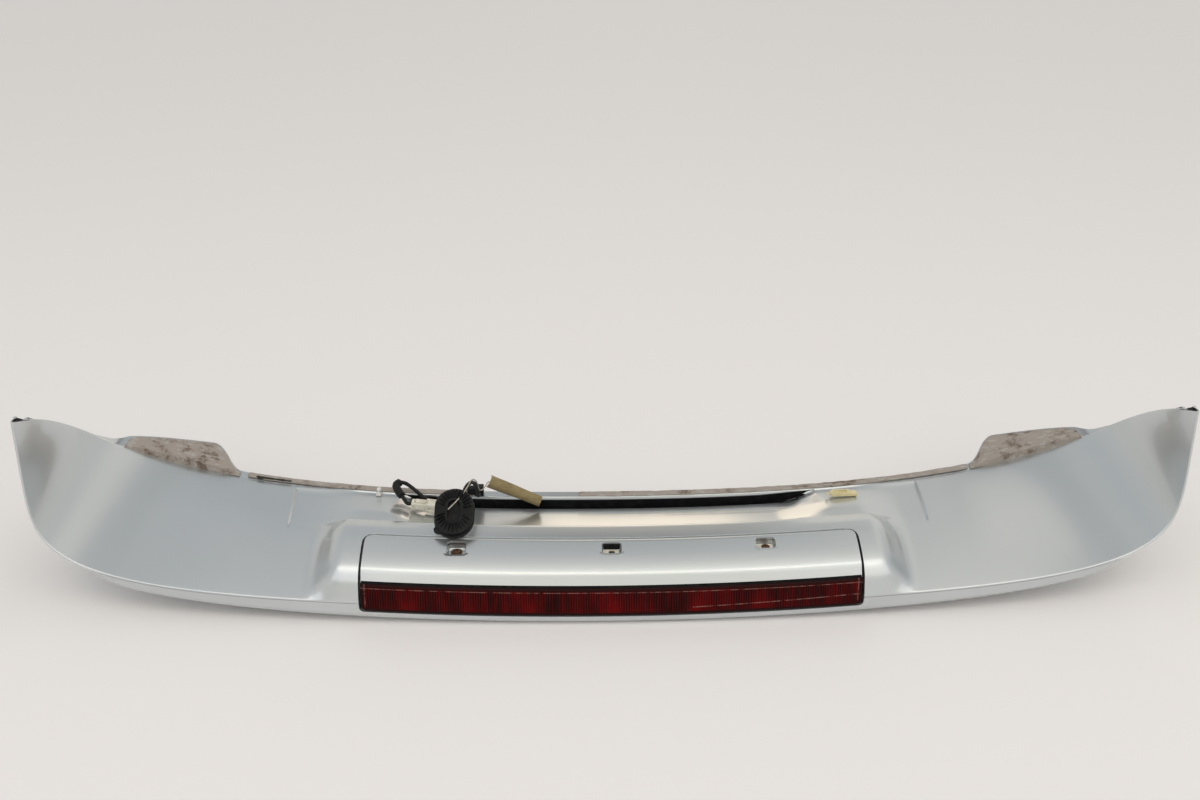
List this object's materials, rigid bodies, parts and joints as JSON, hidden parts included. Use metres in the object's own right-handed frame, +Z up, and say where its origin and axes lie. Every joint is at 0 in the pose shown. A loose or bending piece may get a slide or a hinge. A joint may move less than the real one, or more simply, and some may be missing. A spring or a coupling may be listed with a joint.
{
  "type": "car rear spoiler",
  "caption": "Full-width tailgate spoiler lying upside down, with swept fins, a painted bonded shell, a high-level lamp under its cover, mounting tape and loose wiring.",
  "frame": {"origin": "middle of the bounding box, at the level of its lowest point, as the spoiler lies upside down on its outer face", "axes": "+X along the span to the viewer's right, +Y away from the viewer, towards the front of the car, +Z up, which is the car's down"},
  "size_m": [1.258, 0.2543, 0.2131],
  "materials": {
    "paint": "metallic clear coat",
    "lens_red": "translucent, fluted inside",
    "seal_rubber": "matte",
    "black_plastic": "matte",
    "bright_plastic": "bright metallised",
    "board": "solder resist",
    "led_resin": "clear resin",
    "nylon": "matte",
    "rusty_steel": "rusted",
    "tape": "worn foam tape",
    "black_foam": "matte",
    "white_liner": "matte",
    "white_nylon": "matte",
    "cream_nylon": "matte",
    "cable": "matte",
    "string": "twisted",
    "kraft_paper": "paper"
  },
  "bodies": {
    "root": {"outer_skin": "paint", "inner_skin": "paint", "lamp_cover": "paint", "lamp_lens": "lens_red", "lens_seal": "seal_rubber", "lamp_housing": "black_plastic", "lamp_reflector": "bright_plastic", "led_board": "board", "leds": "led_resin", "screw_grommet_left": "nylon", "screw_grommet_centre": "nylon", "screw_grommet_right": "nylon", "cover_screw_left": "rusty_steel", "cover_screw_right": "rusty_steel", "flange_tape": "tape", "tape_pad_left": "tape", "tape_pad_right": "tape", "foam_strip": "black_foam", "liner_strip": "white_liner", "locating_clip": "white_nylon", "spare_clip": "cream_nylon", "lamp_lead": "cable", "lead_sleeve": "cable", "connector_plug": "cream_nylon", "connector_socket": "cream_nylon", "harness_lead": "cable", "harness_grommet": "seal_rubber", "harness_tail": "cable", "tail_connector": "black_plastic", "tag_string": "string", "tag": "kraft_paper"}
  },
  "joints": []
}
